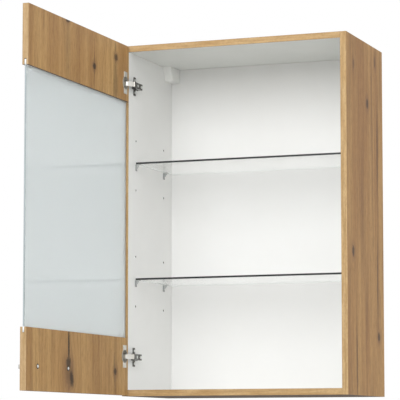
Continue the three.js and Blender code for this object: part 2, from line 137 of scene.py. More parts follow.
def add_node(
    tree: Tree, kind: str, settings: dict[str, object] | None = None,
    inputs: dict[int | str, object] | None = None, out: int | str = 0,
) -> Socket:
    """Adds one node with its settings, values and links.

    Args:
        tree: The node tree that gets the node.
        kind: The node's type name, after "ShaderNode".
        settings: Properties of the node and their values.
        inputs: Sockets by name or number, each with a value or with the socket that feeds it.
        out: The output wanted, by name or number.

    Returns:
        That output's socket.
    """
    node = tree.nodes.new(f"ShaderNode{kind}")
    for name, value in (settings or {}).items():
        setattr(node, name, value)
    feed(tree, node, inputs or {})
    return node.outputs[out]


def link_piece(name: str, mesh: bpy.types.Mesh, smooth_below: float) -> Piece:
    """Shades a mesh smooth and puts it in the scene.

    Args:
        name: The piece's name.
        mesh: Its mesh.
        smooth_below: Edges flatter than this many degrees are shaded smooth.

    Returns:
        The piece, at the origin.
    """
    mesh.shade_smooth()
    mesh.set_sharp_from_angle(angle=math.radians(smooth_below))
    piece = bpy.data.objects.new(name, mesh)
    bpy.context.scene.collection.objects.link(piece)
    return piece


def new_piece(
    name: str, x: np.ndarray, y: np.ndarray, z: np.ndarray, closed: bool = True, smooth_below: float = 35.0,
) -> Piece:
    """Makes a piece from a grid of points joined by quads, with its poles and seams merged.

    Args:
        name: The piece's name.
        x: Places along X in metres, as rows and columns or as what broadcasts to them.
        y: The same along Y.
        z: The same along Z.
        closed: True joins each row's last point to its first.
        smooth_below: Edges flatter than this many degrees are shaded smooth.

    Returns:
        The piece, linked to the scene.
    """
    points = np.stack(np.broadcast_arrays(x, y, z), axis=-1)
    rows, columns = points.shape[:2]
    steps = columns if closed else columns - 1
    row, column = np.meshgrid(np.arange(rows - 1), np.arange(steps), indexing="ij")
    here = row * columns + column
    beside = row * columns + (column + 1) % columns
    quads = np.stack([here, beside, beside + columns, here + columns], axis=-1).reshape(-1, 4)
    mesh = bpy.data.meshes.new(name)
    mesh.from_pydata(points.reshape(-1, 3).tolist(), [], quads.tolist())
    work = bmesh.new()
    work.from_mesh(mesh)
    bmesh.ops.remove_doubles(work, verts=work.verts, dist=WELD)
    bmesh.ops.recalc_face_normals(work, faces=work.faces)
    work.to_mesh(mesh)
    work.free()
    return link_piece(name, mesh, smooth_below)


def clean_copy(node: str, name: str, arris: float, segments: int = 2) -> Piece:
    """Copies a CAD node as a new piece: corners merged, flat faces joined, edges given a small bevel.

    Args:
        node: The CAD node to copy.
        name: The new piece's name.
        arris: Width of the bevel in metres.
        segments: Steps across the bevel.

    Returns:
        The new piece.
    """
    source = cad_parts[node].data
    places = np.empty(len(source.vertices) * 3)
    source.vertices.foreach_get("co", places)
    corners = np.empty(len(source.loops), dtype=np.int32)
    source.loops.foreach_get("vertex_index", corners)
    merged, number = np.unique(np.round(places.reshape(-1, 3), 7), axis=0, return_inverse=True)
    mesh = bpy.data.meshes.new(name)
    mesh.from_pydata(merged.tolist(), [], number.ravel()[corners].reshape(-1, 3).tolist())
    work = bmesh.new()
    work.from_mesh(mesh)
    bmesh.ops.dissolve_limit(work, angle_limit=math.radians(FLAT_WITHIN), verts=work.verts, edges=work.edges)
    work.to_mesh(mesh)
    work.free()
    piece = link_piece(name, mesh, COPY_SMOOTH_BELOW)
    bevel = piece.modifiers.new("arris", "BEVEL")
    bevel.width = arris
    bevel.segments = segments
    bevel.limit_method = "ANGLE"
    bevel.angle_limit = math.radians(ARRIS_ABOVE)
    bevel.harden_normals = True
    return piece


# ---------- finishes ----------


@dataclass(frozen=True)
class Finish:
    """A finish that makes its own material once and hands it out again after that."""

    name: str

    def material(self) -> bpy.types.Material:
        """Makes the material, or finds the one already made.

        Returns:
            The material.
        """
        known = bpy.data.materials.get(self.name)
        if known is not None:
            return known
        made = bpy.data.materials.new(self.name)
        made.use_nodes = True
        self.wire(made.node_tree, made.node_tree.nodes["Principled BSDF"])
        return made

    def wire(self, tree: Tree, shader: Node) -> None:
        """Sets the shader and the nodes that feed it.

        Args:
            tree: The material's node tree.
            shader: Its Principled BSDF.
        """
        raise NotImplementedError(self.name)

    def skin(
        self, tree: Tree, wear: Socket, rough: tuple[float, float], height: Socket,
        strength: float, depth_mm: float, sunk: bool = False,
    ) -> dict[str, Socket]:
        """Works out how rough and how uneven two patterns make the surface.

        Args:
            tree: The material's node tree.
            wear: The pattern of the roughness, zero to one.
            rough: Roughness at zero and at one.
            height: The pattern of the relief.
            strength: How much of the relief shows.
            depth_mm: Its depth.
            sunk: True where a pattern of one lies low.

        Returns:
            What feeds the shader's Roughness and Normal.
        """
        gloss = add_node(tree, "MapRange", {}, {"Value": wear, "To Min": rough[0], "To Max": rough[1]})
        shape = {"Strength": strength, "Distance": depth_mm * MM, "Height": height}
        return {"Roughness": gloss, "Normal": add_node(tree, "Bump", {"invert": sunk}, shape)}


@dataclass(frozen=True)
class Mark:
    """A knot, crack or dark streak in the decor: a leaning ellipse on the face, in millimetres."""

    across: float
    along: float
    half_width: float
    half_height: float
    lean: float = 0.0
    strength: float = 0.8
    soft: float = 0.35
    bend: float = 0.0
    halo: float = 0.0


@dataclass(frozen=True)
class OakDecor(Finish):
    """Melamine foil printed as knotty oak, matt: broad tones, long streaks, short flecks, pores and knots.

    Printed decor is dead flat, so only a trace of bump goes with the pores. Real flecks and pores are
    half as wide as here: they are drawn coarser so that they show.
    """

    grain: Grain
    light: str = "#c49d65"
    mid: str = "#ac8350"
    dark: str = "#6f4c2b"
    knot: str = "#37291d"
    ring: str = "#7a5840"
    shift: tuple[float, float, float] = (0.0, 0.0, 0.0)
    tone_mm: tuple[float, float] = (46.0, 700.0)
    streak_mm: tuple[float, float] = (9.0, 330.0)
    fleck_mm: tuple[float, float] = (3.2, 24.0)
    pore_mm: tuple[float, float] = (1.0, 13.0)
    streak_share: float = 0.38
    fleck_share: float = 0.32
    pore_share: float = 0.26
    halo_share: float = 0.6
    roughness: float = 0.55
    marks: tuple[Mark, ...] = ()

    def wire(self, tree: Tree, shader: Node) -> None:
        """Layers tone, streaks, flecks, pores and marks in millimetres across and along the grain.

        Args:
            tree: The material's node tree.
            shader: Its Principled BSDF.
        """
        place = add_node(tree, "TexCoord", out="Object")
        axes = add_node(tree, "SeparateXYZ", {}, {0: place}).node.outputs
        across, along, depth = self.grain.value
        sheet = add_node(tree, "CombineXYZ", {}, {0: axes[across], 1: axes[along], 2: axes[depth]})
        sheet = add_node(tree, "VectorMath", SCALE, {0: sheet, "Scale": 1.0 / MM})
        dark, halo, pattern = self.wire_marks(tree, sheet)
        pattern = add_node(tree, "VectorMath", {"operation": "ADD"}, {0: pattern, 1: self.shift})
        tone = self.stretched_noise(tree, pattern, self.tone_mm, 3.0, 0.32, 0.68)
        streak = self.stretched_noise(tree, pattern, self.streak_mm, 3.0, 0.46, 0.74)
        fleck = self.stretched_noise(tree, pattern, self.fleck_mm, 3.0, 0.40, 0.72)
        pore = self.stretched_noise(tree, pattern, self.pore_mm, 1.0, 0.58, 0.72)
        colour = add_node(
            tree, "Mix", COLOURS, {SHARE: tone, FIRST: linear(self.mid), SECOND: linear(self.light)}, MIXED,
        )
        layers = (
            (streak, self.streak_share, self.dark),
            (fleck, self.fleck_share, self.dark),
            (pore, self.pore_share, self.dark),
            (halo, self.halo_share, self.ring),
            (dark, 1.0, self.knot),
        )
        for mask, share, tint in layers:
            amount = add_node(tree, "Math", MULTIPLY, {0: mask, 1: share})
            tints = {FIRST: colour, SECOND: linear(tint)}
            colour = add_node(tree, "Mix", COLOURS, {SHARE: amount, **tints}, MIXED)
        rough = (self.roughness, self.roughness + 0.12)
        surface = self.skin(tree, pore, rough, pore, 0.25, 0.05, sunk=True)
        feed(tree, shader, {"Base Color": colour, "IOR": 1.5, "Specular IOR Level": 0.25, **surface})

    def stretched_noise(
        self, tree: Tree, pattern: Socket, size_mm: tuple[float, float],
        detail: float, low: float, high: float,
    ) -> Socket:
        """Noise drawn out along the grain and cut to a share between two levels.

        Args:
            tree: The material's node tree.
            pattern: Millimetres across, along and into the board.
            size_mm: Size of one blotch across and along the grain.
            detail: Octaves of finer noise.
            low: Noise level that gives zero.
            high: Noise level that gives one.

        Returns:
            The socket of the share, zero to one.
        """
        scaled = add_node(
            tree, "VectorMath", MULTIPLY, {0: pattern, 1: (1.0 / size_mm[0], 1.0 / size_mm[1], 0.03)},
        )
        noise = add_node(
            tree, "TexNoise", {}, {"Vector": scaled, "Scale": 1.0, "Detail": detail, "Roughness": 0.55},
        )
        return add_node(tree, "MapRange", SMOOTH_STEP, {"Value": noise, "From Min": low, "From Max": high})

    def wire_marks(
        self, tree: Tree, sheet: Socket,
    ) -> tuple[Socket, Socket, Socket]:
        """Draws every mark and bends the grain round the knots.

        Each mark's distance is the length of the place in the mark's own turned and scaled frame, so
        one is its outline. A little noise on that distance roughens the outline.

        Args:
            tree: The material's node tree.
            sheet: Millimetres across, along and into the board.

        Returns:
            Sockets of the dark cover, of the halo's cover, and of the bent millimetres.
        """
        ragged = add_node(tree, "TexNoise", {}, {"Vector": sheet, "Scale": 0.22, "Detail": 3.0})
        ragged = add_node(tree, "Math", {"operation": "MULTIPLY_ADD"}, {0: ragged, 1: 0.9, 2: -0.45})
        dark = add_node(tree, "Math", MULTIPLY, {0: ragged, 1: 0.0})
        halo = dark
        pattern = sheet
        for mark in self.marks:
            local = add_node(
                tree, "Mapping", {"vector_type": "TEXTURE"},
                {
                    "Vector": sheet,
                    "Location": (mark.across, mark.along, 0.0),
                    "Rotation": (0.0, 0.0, math.radians(mark.lean)),
                    "Scale": (mark.half_width, mark.half_height, 1e6),
                },
            )
            distance = add_node(tree, "VectorMath", {"operation": "LENGTH"}, {0: local}, "Value")
            rough = add_node(tree, "Math", {"operation": "ADD"}, {0: distance, 1: ragged})
            rim = {"From Min": 1.0 + mark.soft, "From Max": 1.0 - mark.soft}
            fade = {"Value": rough, **rim, "To Max": mark.strength}
            mask = add_node(tree, "MapRange", SMOOTH_STEP, fade)
            dark = add_node(tree, "Math", MAXIMUM, {0: dark, 1: mask})
            if mark.halo:
                fade = {"Value": rough, **HALO_SPAN, "To Max": mark.halo}
                ring = add_node(tree, "MapRange", SMOOTH_STEP, fade)
                halo = add_node(tree, "Math", MAXIMUM, {0: halo, 1: ring})
            if mark.bend:
                fade = {"Value": distance, **BEND_SPAN, "To Max": mark.bend}
                pull = add_node(tree, "MapRange", SMOOTH_STEP, fade)
                drawn = add_node(tree, "VectorMath", SCALE, {0: local, "Scale": pull})
                pattern = add_node(
                    tree, "VectorMath", {"operation": "MULTIPLY_ADD"},
                    {0: drawn, 1: (-mark.half_width, 0.0, 0.0), 2: pattern},
                )
        return dark, halo, pattern


@dataclass(frozen=True)
class EdgeBand(OakDecor):
    """Oak decor in an edge band's width: paler than the faces, with its grain drawn finer."""

    light: str = "#c7a87b"
    mid: str = "#b39162"
    dark: str = "#8b6d46"
    tone_mm: tuple[float, float] = (6.0, 90.0)
    streak_mm: tuple[float, float] = (2.6, 60.0)
    fleck_mm: tuple[float, float] = (2.2, 7.0)


@dataclass(frozen=True)
class Laminate(Finish):
    """Melamine-faced board or foil in one colour: a satin skin with a fine pearl and faint cloudiness."""

    colour: str
    cloud: str
    pearl_mm: float = 0.7
    cloud_mm: float = 90.0
    roughness: float = 0.42
    relief_mm: float = 0.02

    def wire(self, tree: Tree, shader: Node) -> None:
        """Clouds the colour softly and gives the surface its pearl.

        Args:
            tree: The material's node tree.
            shader: Its Principled BSDF.
        """
        place = add_node(tree, "TexCoord", out="Object")
        scale = 1.0 / (self.cloud_mm * MM)
        cloud = add_node(tree, "TexNoise", {}, {"Vector": place, "Scale": scale, "Detail": 2.0})
        scale = 1.0 / (self.pearl_mm * MM)
        pearl = add_node(tree, "TexNoise", {}, {"Vector": place, "Scale": scale, "Detail": 1.0})
        tints = {FIRST: linear(self.colour), SECOND: linear(self.cloud)}
        colour = add_node(tree, "Mix", COLOURS, {SHARE: cloud, **tints}, MIXED)
        rough = (self.roughness - 0.05, self.roughness + 0.05)
        surface = self.skin(tree, cloud, rough, pearl, 0.2, self.relief_mm)
        feed(tree, shader, {"Base Color": colour, "IOR": 1.5, **surface})


@dataclass(frozen=True)
class Chipboard(Finish):
    """Raw chipboard or hardboard where no foil covers it: pale and dark flakes, dull and rough."""

    light: str = "#c9ab80"
    dark: str = "#8f6f49"
    flake_mm: float = 2.4
    grit_mm: float = 0.8

    def wire(self, tree: Tree, shader: Node) -> None:
        """Colours each flake cell by its own random value and adds grit.

        Args:
            tree: The material's node tree.
            shader: Its Principled BSDF.
        """
        place = add_node(tree, "TexCoord", out="Object")
        scale = 1.0 / (self.flake_mm * MM)
        flakes = add_node(tree, "TexVoronoi", {}, {"Vector": place, "Scale": scale}, "Color")
        scale = 1.0 / (self.grit_mm * MM)
        grit = add_node(tree, "TexNoise", {}, {"Vector": place, "Scale": scale, "Detail": 3.0})
        share = add_node(tree, "Math", MULTIPLY, {0: flakes, 1: grit})
        tints = {FIRST: linear(self.light), SECOND: linear(self.dark)}
        colour = add_node(tree, "Mix", COLOURS, {SHARE: share, **tints}, MIXED)
        relief = add_node(tree, "Bump", {}, {"Strength": 0.5, "Distance": 0.2 * MM, "Height": grit})
        feed(tree, shader, {"Base Color": colour, "Normal": relief, "Roughness": 0.85, "IOR": 1.5})


@dataclass(frozen=True)
class Glass(Finish):
    """Float glass: clear, satin or an edge. Etching scatters what shows through it, iron greens its edge."""

    colour: str
    transmission: float
    roughness: float
    alpha: float = 1.0
    etch_mm: float = 0.0
    gloss_over: float = 0.0
    breath_mm: float = 60.0

    def wire(self, tree: Tree, shader: Node) -> None:
        """Sets the glass, and the faint unevenness of an etched face.

        Args:
            tree: The material's node tree.
            shader: Its Principled BSDF.
        """
        place = add_node(tree, "TexCoord", out="Object")
        scale = 1.0 / (self.breath_mm * MM)
        breath = add_node(tree, "TexNoise", {}, {"Vector": place, "Scale": scale, "Detail": 2.0})
        span = {"To Min": self.roughness, "To Max": self.roughness + 0.04}
        feed(tree, shader, {
            "Base Color": linear(self.colour), "Transmission Weight": self.transmission, "IOR": 1.52,
            "Alpha": self.alpha, "Coat Weight": self.gloss_over, "Coat Roughness": 0.04,
            "Roughness": add_node(tree, "MapRange", {}, {"Value": breath, **span}),
        })
        if self.etch_mm:
            etch = add_node(tree, "TexNoise", {}, {"Vector": place, "Scale": 1.0 / (self.etch_mm * MM)})
            relief = add_node(tree, "Bump", {}, {"Strength": 0.15, "Distance": 0.02 * MM, "Height": etch})
            feed(tree, shader, {"Normal": relief})


@dataclass(frozen=True)
class Moulded(Finish):
    """Injection-moulded plastic: an even satin skin with fine spark texture, or clear and glossy."""

    colour: str
    roughness: float
    transmission: float = 0.0
    spark_mm: float = 0.5

    def wire(self, tree: Tree, shader: Node) -> None:
        """Sets the plastic and the spark texture of its mould.

        Args:
            tree: The material's node tree.
            shader: Its Principled BSDF.
        """
        place = add_node(tree, "TexCoord", out="Object")
        scale = 1.0 / (self.spark_mm * MM)
        spark = add_node(tree, "TexNoise", {}, {"Vector": place, "Scale": scale, "Detail": 2.0})
        feed(tree, shader, {
            "Base Color": linear(self.colour), "Transmission Weight": self.transmission, "IOR": 1.49,
            **self.skin(tree, spark, (self.roughness, self.roughness + 0.12), spark, 0.2, 0.03),
        })


@dataclass(frozen=True)
class PlatedMetal(Finish):
    """Nickel or zinc on pressed steel, or brushed steel: scratched along one axis, slightly smudged."""

    colour: str
    smudge: str
    roughness: float
    brush_mm: tuple[float, float, float] = (0.6, 0.6, 0.6)
    relief_mm: float = 0.01
    smudge_mm: float = 9.0

    def wire(self, tree: Tree, shader: Node) -> None:
        """Smudges the colour and roughness, and scratches the surface by stretched noise.

        Args:
            tree: The material's node tree.
            shader: Its Principled BSDF.
        """
        place = add_node(tree, "TexCoord", out="Object")
        stretch = tuple(1.0 / (size * MM) for size in self.brush_mm)
        scratch = add_node(tree, "VectorMath", MULTIPLY, {0: place, 1: stretch})
        lines = add_node(tree, "TexNoise", {}, {"Vector": scratch, "Scale": 1.0, "Detail": 2.0})
        scale = 1.0 / (self.smudge_mm * MM)
        cloud = add_node(tree, "TexNoise", {}, {"Vector": place, "Scale": scale, "Detail": 2.0})
        tints = {FIRST: linear(self.colour), SECOND: linear(self.smudge)}
        colour = add_node(tree, "Mix", COLOURS, {SHARE: cloud, **tints}, MIXED)
        rough = (self.roughness - 0.06, self.roughness + 0.08)
        surface = self.skin(tree, lines, rough, lines, 0.3, self.relief_mm)
        feed(tree, shader, {"Base Color": colour, "Metallic": 1.0, **surface})


# Knots and streaks of the decor, in millimetres across and along each face.
DOOR_INSIDE_MARKS = (
    Mark(-703.5, 890, 13, 7, strength=0.85, bend=0.6, halo=0.5),
    Mark(-700, 815, 12, 75, strength=0.24, soft=0.6),
    Mark(-543, 803, 8.5, 8, strength=0.95, bend=0.8, halo=0.7),
    Mark(-543, 800, 3, 42, strength=0.4, soft=0.5),
    Mark(-407, 848, 10, 9, strength=0.75, bend=0.7, halo=0.8),
    Mark(-410, 786, 13, 60, lean=2, strength=0.4, soft=0.5),
    Mark(-412, 874, 4.5, 16, strength=0.45, soft=0.5),
    Mark(-686, 106, 4.5, 40, lean=1, strength=0.95, soft=0.35),
    Mark(-687, 64, 13, 14, strength=0.85, soft=0.5),
    Mark(-684, 42, 19, 27, lean=10, strength=0.35, soft=0.6, bend=0.8, halo=0.8),
    Mark(-669, 28, 10, 19, lean=14, strength=0.9, soft=0.55),
    Mark(-405.5, 52, 8.5, 9, strength=0.85, bend=0.7, halo=0.6),
    Mark(-408, 48, 5, 52, lean=3, strength=0.42, soft=0.5),
)
RIGHT_SIDE_MARKS = (
    Mark(-258, 819, 7, 12, strength=0.3, soft=0.5, bend=0.7, halo=0.3),
    Mark(-69, 853, 7, 13, strength=0.45, soft=0.5, bend=0.7, halo=0.4),
    Mark(-139, 736, 9, 12, strength=0.75, bend=0.8, halo=0.6),
    Mark(-52, 620, 5.5, 115, lean=-1, strength=0.6, soft=0.5),
    Mark(-270, 348, 9, 13, strength=0.75, bend=0.8, halo=0.6),
    Mark(-56, 290, 5, 110, strength=0.5, soft=0.5),
    Mark(-48, 144, 9, 12, strength=0.75, bend=0.8, halo=0.6),
    Mark(-243, 78, 6, 84, strength=0.5, soft=0.5),
    Mark(-190, 470, 9, 150, strength=0.22, soft=0.7),
)
LEFT_SIDE_MARKS = (
    Mark(-210, 640, 6, 12, strength=0.8, bend=0.7, halo=0.6),
    Mark(-95, 300, 5, 10, strength=0.75, bend=0.7, halo=0.6),
    Mark(-240, 160, 4.5, 70, strength=0.32, soft=0.6),
)
DOOR_OUTSIDE_MARKS = (
    Mark(-610, 830, 6, 13, lean=8, strength=0.85, bend=0.8, halo=0.7),
    Mark(-480, 70, 5, 11, lean=-9, strength=0.8, bend=0.8, halo=0.7),
    Mark(-820, 800, 5, 60, strength=0.3, soft=0.6),
)


@dataclass(frozen=True)
class Finishes:
    """Every finish of the cabinet, by what it covers."""

    # Melamine foil printed as knotty oak, pressed on chipboard: warm, matt, dead flat.
    door_inside: Finish = OakDecor(
        "oak_decor_door_inside", Grain.UPRIGHT_SIDE, shift=(40.0, 0.0, 0.0), marks=DOOR_INSIDE_MARKS,
    )
    door_outside: Finish = OakDecor(
        "oak_decor_door_outside", Grain.UPRIGHT_SIDE, shift=(900.0, 350.0, 70.0), marks=DOOR_OUTSIDE_MARKS,
    )
    right_side: Finish = OakDecor(
        "oak_decor_right_side", Grain.UPRIGHT_SIDE, shift=(-300.0, 800.0, 10.0), marks=RIGHT_SIDE_MARKS,
        light="#bd935b", mid="#a47847", dark="#68492c", streak_mm=(14.0, 420.0), streak_share=0.45,
    )
    left_side: Finish = OakDecor(
        "oak_decor_left_side", Grain.UPRIGHT_SIDE, shift=(250.0, -500.0, 90.0), marks=LEFT_SIDE_MARKS,
    )
    level_panel: Finish = OakDecor("oak_decor_level_panel", Grain.LEVEL_PANEL, shift=(77.0, 500.0, 20.0))
    # Oak foil band glued on a board's edge and trimmed: paler and finer than the faces it joins.
    upright_band: Finish = EdgeBand("oak_edge_band_upright", Grain.UPRIGHT_FRONT)
    level_band: Finish = EdgeBand("oak_edge_band_level", Grain.LEVEL_FRONT)
    end_band: Finish = EdgeBand("oak_edge_band_end", Grain.DEPTH_EDGE)
    door_band: Finish = EdgeBand(
        "oak_edge_band_door", Grain.UPRIGHT_FRONT, light="#bc9f78", mid="#ac8e64", dark="#8c6e48",
        shift=(33.0, 400.0, 5.0), streak_share=0.25,
    )
    # The same foil where it faces the floor: much darker, because little light comes from below.
    under_band: Finish = OakDecor(
        "oak_edge_band_under", Grain.DEPTH_EDGE, light="#6f5236", mid="#5f442b", dark="#45301c",
    )
    underside: Finish = OakDecor(
        "oak_decor_underside", Grain.LEVEL_PANEL, light="#5f4731", mid="#523b27", dark="#3a291a",
    )
    # A thin brown line along every arris: partly the trimmed glue line between face and band, mostly painted
    # shade along the edges.
    joint_and_edge_shade: Finish = Laminate("band_joint_and_painted_edge_shade", "#8a6741", "#7a5937")
    # Melamine-faced board, white and satin, and a foiled sheet at the back. The top board's underside is a
    # little greyer: painted shade on the same white board.
    white_inside: Finish = Laminate("white_melamine_inside", "#f3f3f1", "#eeeeec")
    white_painted_shade_overhead: Finish = Laminate("white_melamine_painted_shade_overhead", "#e2e3df", "#dddeda")
    white_back: Finish = Laminate("white_foil_back", "#f0f0ef", "#ececea", cloud_mm=140.0, roughness=0.5)
    # Sawn or drilled board with no foil: flaky and dull. Down bores and grooves it is nearly black: painted
    # shade.
    raw_board: Finish = Chipboard("raw_chipboard")
    hole: Finish = Chipboard("drilled_chipboard_painted_shade", light="#2f271f", dark="#1d1712")
    hardboard: Finish = Chipboard("raw_hardboard", light="#a98460", dark="#7a5a3c", flake_mm=1.2)
    # Float glass etched on its faces: milky, with a soft sheen over it. Its ground edges are grey and matt.
    satin_glass: Finish = Glass("satin_etched_glass", "#f5fbfc", 0.75, 0.55, etch_mm=0.8, gloss_over=1.0)
    satin_edge: Finish = Glass("satin_glass_ground_edge", "#a3acb0", 0.0, 0.4, etch_mm=0.5)
    satin_arris: Finish = Glass("satin_glass_arris", "#8a9496", 0.0, 0.3)
    # Clear float glass: almost nothing from the face. The front edge is a near-black line: painted dark
    # reflection of the surroundings the polished edge mirrors.
    clear_glass: Finish = Glass("clear_float_glass", "#fbfefd", 1.0, 0.0, alpha=0.3)
    front_edge: Finish = Glass("polished_front_edge_painted_dark_reflection", "#0b0e0d", 0.0, 0.3)
    plain_edge: Finish = Glass("ground_rear_edge", "#dfe6e3", 0.6, 0.2, alpha=0.35)
    # Moulded plastics: clear and glossy supports, white satin caps, a soft white glazing strip.
    clear_plastic: Finish = Moulded("clear_polycarbonate", "#e3e6e4", 0.08, transmission=0.55)
    white_plastic: Finish = Moulded("white_moulded_abs", "#f2f2ef", 0.38)
    gasket: Finish = Moulded("white_soft_pvc", "#dfe1df", 0.45)
    # Turned beech dowel, raw: pale, plain and dry.
    beech: Finish = OakDecor(
        "raw_beech_dowel", Grain.LEVEL_PANEL, light="#dcbd92", mid="#d0ac7d", dark="#b58d60", roughness=0.7,
    )
    # Nickel on pressed steel is bright and satin on the drawn cup. On the cast arm and plate the same nickel
    # is painted dark, as painted dark reflection of the surroundings it mirrors.
    nickel: Finish = PlatedMetal("nickel_plated_bright_steel", "#eeece6", "#d8d5cd", 0.3)
    cup_nickel: Finish = PlatedMetal("nickel_plated_deep_drawn", "#e6e3dd", "#d0cdc6", 0.5)
    arm_nickel_painted_dark: Finish = PlatedMetal("nickel_die_cast_painted_dark_reflection", "#66645f", "#4a4845", 0.2)
    # Drawn steel pin: grey and plain.
    pin: Finish = PlatedMetal("drawn_steel_pin", "#a9a8a4", "#8f8e8a", 0.3)
    # Zinc plating on cold-headed screws: white and cool. On the handle bolts it is near white: painted
    # highlight. The dark ring round each handle bolt's head is painted shade, standing for the shadow gap
    # round it.
    zinc: Finish = PlatedMetal("zinc_plated_steel", "#e4e5e2", "#cfd0cc", 0.34)
    zinc_painted_highlight: Finish = PlatedMetal("zinc_plated_bolt_painted_highlight", "#fbfbf8", "#f0f0ec", 0.42)
    painted_shadow_ring: Finish = PlatedMetal("painted_shadow_ring_round_bolt", "#3a3935", "#2c2b28", 0.35)
    # Stainless steel brushed along the bar: a soft highlight drawn out across it.
    brushed: Finish = PlatedMetal(
        "brushed_stainless_steel", "#dddcd8", "#cccbc6", 0.34, brush_mm=(0.5, 26.0, 0.5), relief_mm=0.02,
    )


LOOKS = Finishes()


# ---------- putting pieces in place ----------


def settle(piece: Piece, body: str, slot: str, *nodes: str) -> Piece:
    """Fixes a piece to its body and hides the CAD nodes it stands for.

    Args:
        piece: The finished piece.
        body: The CAD body it rides on.
        slot: The record's material slot; not used.
        nodes: CAD nodes that it replaces.

    Returns:
        The same piece.
    """
    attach(piece, body)
    if nodes:
        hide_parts(*nodes)
    LOG.info("%s: %d faces on %s", piece.name, len(piece.data.polygons), body)
    return piece


def dress(node: str, finish: Finish) -> None:
    """Gives a CAD node that stays its better material.

    Args:
        node: The CAD node.
        finish: Its finish.
    """
    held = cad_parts[node].data.materials
    held.clear()
    held.append(finish.material())
    LOG.info("%s: keeps its CAD mesh, %s", node, finish.name)


def face_sides(piece: Piece, faces: dict[Side, Finish], elsewhere: Finish) -> None:
    """Gives each polygon the finish of the side of the box that it lies on.

    A polygon lies on a side where its centre is on that side's plane and its normal points out of it.

    Args:
        piece: The board, before its modifiers.
        faces: The finish of each named side.
        elsewhere: The finish of holes, grooves and any other side.
    """
    mesh = piece.data
    mesh.materials.clear()
    mesh.materials.append(elsewhere.material())
    centres = np.empty(len(mesh.polygons) * 3)
    normals = np.empty(len(mesh.polygons) * 3)
    places = np.empty(len(mesh.vertices) * 3)
    mesh.polygons.foreach_get("center", centres)
    mesh.polygons.foreach_get("normal", normals)
    mesh.vertices.foreach_get("co", places)
    centres, normals, places = (values.reshape(-1, 3) for values in (centres, normals, places))
    chosen = np.zeros(len(mesh.polygons), dtype=np.int32)
    for number, (side, finish) in enumerate(faces.items(), start=1):
        axis, sign = side.value
        mesh.materials.append(finish.material())
        plane = places[:, axis].max() if sign > 0 else places[:, axis].min()
        on_side = (np.abs(centres[:, axis] - plane) < 0.05 * MM) & (normals[:, axis] * sign > 0.9)
        chosen[on_side] = number
    mesh.polygons.foreach_set("material_index", chosen)
    mesh.update()


def cover(piece: Piece, finish: Finish) -> None:
    """Covers the whole piece with one finish."""
    piece.data.materials.clear()
    piece.data.materials.append(finish.material())


def replace_node(
    node: str, name: str, arris: float, body: str, slot: str, main: Finish,
    faces: dict[Side, Finish] | None = None, joint: Finish | None = None, segments: int = 2,
) -> None:
    """Replaces a CAD node by its clean copy.

    Args:
        node: The CAD node.
        name: The new piece's name.
        arris: Width of the bevel along its edges, in metres.
        body: The CAD body it rides on.
        slot: The record's material slot.
        main: The finish of all that has no other.
        faces: The finish of each side that has its own.
        joint: The finish of the bevel, where it has its own.
        segments: Steps across the bevel.
    """
    piece = clean_copy(node, name, arris, segments)
    face_sides(piece, faces or {}, main)
    # On the oak boards the bevel gets a brown line that is partly glue line, partly painted edge shade.
    if joint is not None:
        piece.data.materials.append(joint.material())
        piece.modifiers["arris"].material = len(piece.data.materials) - 1
    settle(piece, body, slot, node)


@dataclass
class Screw:
    """A cross-recessed screw along X: a domed head with its recess, and a threaded shank.

    The dome and the recess are given as shares of the head's radius or height, the thread's depth as a
    share of the shank's radius and the tip as a share of its length.
    """

    head_height: float
    shank_radius: float
    pitch: float = 1.4 * MM
    columns: int = 40
    dome_rows: int = 14
    thread_rows: int = 64
    dome_reach: float = 0.93
    dome_height: float = 0.35
    slot_width: float = 0.13
    slot_reach: float = 0.6
    slot_depth: float = 0.55
    thread_depth: float = 0.16
    tip: float = 0.16

    def build(self, box: tuple[Vector, Vector], name: str, finish: Finish) -> Piece:
        """Builds the screw in a box.

        The head's top is x = crown * (1 - (r / R)^2), less the recess, which is deepest at the middle
        of two crossed slots. The shank's radius is r0 - depth * |saw(x / pitch - angle / 2 pi)|.

        Args:
            box: Its lowest and highest corner, with the head at the high end of X.
            name: The piece's name.
            finish: Its finish.

        Returns:
            The screw.
        """
        low, high = box
        head_radius = (high.y - low.y) / 2
        seat = high.x - self.head_height
        angle = np.linspace(0.0, 2 * math.pi, self.columns, endpoint=False)
        top = np.linspace(0.0, self.dome_reach, self.dome_rows)[:, None] * head_radius
        dome = high.x - self.dome_height * self.head_height * (top / head_radius) ** 2
        u, v = np.abs(top * np.cos(angle)), np.abs(top * np.sin(angle))
        width, reach = self.slot_width * head_radius, self.slot_reach * head_radius
        slot_u = np.clip((width - v) / width + 0.4, 0, 1) * np.clip((reach - u) / width, 0, 1)
        slot_v = np.clip((width - u) / width + 0.4, 0, 1) * np.clip((reach - v) / width, 0, 1)
        recess = self.slot_depth * self.head_height * np.maximum(slot_u, slot_v)
        # The head's rim has three rows: below the dome, just above the seat, and the seat.
        rim_radius = np.array([1.0, 1.0, 0.97])[:, None] * head_radius
        rim_x = np.array([high.x - 0.5 * self.head_height, seat + 0.1 * MM, seat])[:, None]
        along = np.linspace(0.0, 1.0, self.thread_rows)[:, None]
        shank_x = seat - along * (seat - low.x)
        taper = np.clip((1.0 - along) / self.tip, 0.0, 1.0)
        phase = (along * (seat - low.x) / self.pitch - angle / (2 * math.pi)) % 1.0
        thread = self.thread_depth * self.shank_radius * np.abs(2.0 * phase - 1.0)
        shank_radius = (self.shank_radius - thread) * taper
        row = np.zeros(self.columns)
        radii = np.vstack([top + row, rim_radius + row, shank_radius])
        piece = new_piece(
            name,
            np.vstack([dome - recess, rim_x + row, shank_x + row]),
            (low.y + high.y) / 2 + radii * np.cos(angle),
            (low.z + high.z) / 2 + radii * np.sin(angle),
            smooth_below=40.0,
        )
        cover(piece, finish)
        return piece


